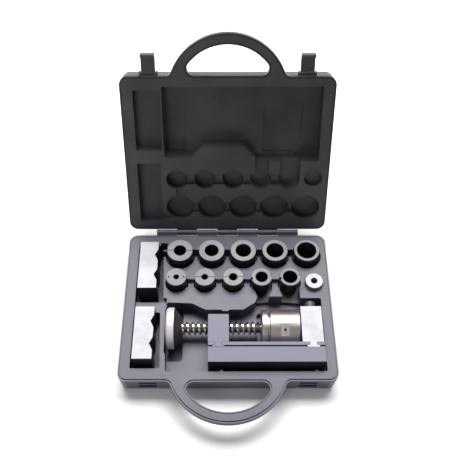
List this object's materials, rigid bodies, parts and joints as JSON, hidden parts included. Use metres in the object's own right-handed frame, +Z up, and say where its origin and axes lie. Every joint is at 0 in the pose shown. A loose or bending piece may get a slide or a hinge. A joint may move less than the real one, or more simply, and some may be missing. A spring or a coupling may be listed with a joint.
{
  "type": "screw press set in a carry case",
  "caption": "Open two-half carry case holding a small screw press with V-blocks, ring adapters and a spacer, for pressing joints apart and together.",
  "frame": {"origin": "centre of the case's flat underside, under the middle of the closed case", "axes": "+X to the right, +Y towards the hinge, +Z up from the bench"},
  "size_m": [0.33, 0.4836, 0.3434],
  "materials": {
    "case_base_plastic": "fine-grained moulded charcoal plastic",
    "case_lid_plastic": "fine-grained moulded charcoal plastic",
    "ground_steel": "surface ground, bright",
    "black_oxide_steel": "black oxide, satin",
    "machined_steel": "turned, satin",
    "oxide_blue_steel": "blue-grey oxide, satin",
    "bright_screw_steel": "rolled, bright",
    "zinc_steel": "zinc plated"
  },
  "bodies": {
    "case": {"case_base": "case_base_plastic", "hinge_pin": "zinc_steel"},
    "lid": {"case_lid": "case_lid_plastic", "latch_pin_left": "zinc_steel", "latch_pin_right": "zinc_steel"},
    "latch_left": {"latch_left": "case_lid_plastic"},
    "latch_right": {"latch_right": "case_lid_plastic"},
    "v_block_rear": {"v_block_rear": "ground_steel"},
    "v_block_front": {"v_block_front": "ground_steel"},
    "large_adapter_1": {"large_adapter_1_front_half": "black_oxide_steel", "large_adapter_1_rear_half": "black_oxide_steel", "large_adapter_1_band": "bright_screw_steel"},
    "large_adapter_2": {"large_adapter_2": "black_oxide_steel"},
    "large_adapter_3": {"large_adapter_3": "black_oxide_steel"},
    "large_adapter_4": {"large_adapter_4": "black_oxide_steel"},
    "large_adapter_5": {"large_adapter_5": "black_oxide_steel"},
    "small_adapter_1": {"small_adapter_1": "black_oxide_steel"},
    "small_adapter_2": {"small_adapter_2_front_half": "black_oxide_steel", "small_adapter_2_rear_half": "black_oxide_steel", "small_adapter_2_band": "bright_screw_steel"},
    "small_adapter_3": {"small_adapter_3_front_half": "black_oxide_steel", "small_adapter_3_rear_half": "black_oxide_steel", "small_adapter_3_band": "bright_screw_steel"},
    "small_adapter_4": {"small_adapter_4": "black_oxide_steel"},
    "small_adapter_5": {"small_adapter_5": "black_oxide_steel"},
    "spacer": {"spacer_washer": "ground_steel"},
    "press_frame": {"press_beam": "oxide_blue_steel", "screw_upright": "oxide_blue_steel"},
    "anvil": {"anvil_upright": "ground_steel", "anvil_cap": "ground_steel", "cap_screw_1": "black_oxide_steel", "cap_screw_2": "black_oxide_steel"},
    "drum": {"drum_body": "machined_steel", "drum_collar": "machined_steel", "drum_grub_screw": "black_oxide_steel", "thrust_race_drum": "bright_screw_steel"},
    "screw": {"press_screw": "bright_screw_steel", "pressure_disc": "machined_steel", "screw_retaining_ring": "black_oxide_steel", "thrust_race_screw": "bright_screw_steel", "thrust_balls": "bright_screw_steel"}
  },
  "joints": [
    {"name": "lid_hinge", "type": "hinge", "parent": "case", "child": "lid", "pos_m": [0, 0.1377, 0.04], "axis": [-1, 0, 0], "range_deg": [-114.3, 0]},
    {"name": "latch_left_hinge", "type": "hinge", "parent": "lid", "child": "latch_left", "pos_m": [-0.12, 0.25772, 0.28522], "axis": [-1, 0, 0], "range_deg": [-90, 0]},
    {"name": "latch_right_hinge", "type": "hinge", "parent": "lid", "child": "latch_right", "pos_m": [0.12, 0.25772, 0.28522], "axis": [-1, 0, 0], "range_deg": [-90, 0]},
    {"name": "v_block_rear_lift", "type": "slide", "parent": "case", "child": "v_block_rear", "axis": [0, 0, 1], "range_m": [0, 0.07]},
    {"name": "v_block_front_lift", "type": "slide", "parent": "case", "child": "v_block_front", "axis": [0, 0, 1], "range_m": [0, 0.07]},
    {"name": "large_adapter_1_lift", "type": "slide", "parent": "case", "child": "large_adapter_1", "axis": [0, 0, 1], "range_m": [0, 0.06]},
    {"name": "large_adapter_2_lift", "type": "slide", "parent": "case", "child": "large_adapter_2", "axis": [0, 0, 1], "range_m": [0, 0.06]},
    {"name": "large_adapter_3_lift", "type": "slide", "parent": "case", "child": "large_adapter_3", "axis": [0, 0, 1], "range_m": [0, 0.06]},
    {"name": "large_adapter_4_lift", "type": "slide", "parent": "case", "child": "large_adapter_4", "axis": [0, 0, 1], "range_m": [0, 0.06]},
    {"name": "large_adapter_5_lift", "type": "slide", "parent": "case", "child": "large_adapter_5", "axis": [0, 0, 1], "range_m": [0, 0.06]},
    {"name": "small_adapter_1_lift", "type": "slide", "parent": "case", "child": "small_adapter_1", "axis": [0, 0, 1], "range_m": [0, 0.06]},
    {"name": "small_adapter_2_lift", "type": "slide", "parent": "case", "child": "small_adapter_2", "axis": [0, 0, 1], "range_m": [0, 0.06]},
    {"name": "small_adapter_3_lift", "type": "slide", "parent": "case", "child": "small_adapter_3", "axis": [0, 0, 1], "range_m": [0, 0.06]},
    {"name": "small_adapter_4_lift", "type": "slide", "parent": "case", "child": "small_adapter_4", "axis": [0, 0, 1], "range_m": [0, 0.06]},
    {"name": "small_adapter_5_lift", "type": "slide", "parent": "case", "child": "small_adapter_5", "axis": [0, 0, 1], "range_m": [0, 0.06]},
    {"name": "spacer_lift", "type": "slide", "parent": "case", "child": "spacer", "axis": [0, 0, 1], "range_m": [0, 0.03]},
    {"name": "press_lift", "type": "slide", "parent": "case", "child": "press_frame", "axis": [0, 0, 1], "range_m": [0, 0.09]},
    {"name": "anvil_slide", "type": "slide", "parent": "press_frame", "child": "anvil", "axis": [0, 0, 1], "range_m": [0, 0.05]},
    {"name": "drum_feed", "type": "slide", "parent": "press_frame", "child": "drum", "axis": [1, 0, 0], "range_m": [-0.001, 0.002]},
    {"name": "screw_turn", "type": "hinge", "parent": "drum", "child": "screw", "pos_m": [0, -0.0435, 0.036], "axis": [1, 0, 0], "range_deg": [-46, 91]}
  ],
  "couplings": [
    {"joint": "screw_turn", "follows": "drum_feed", "rad_per_m": 785.4}
  ]
}
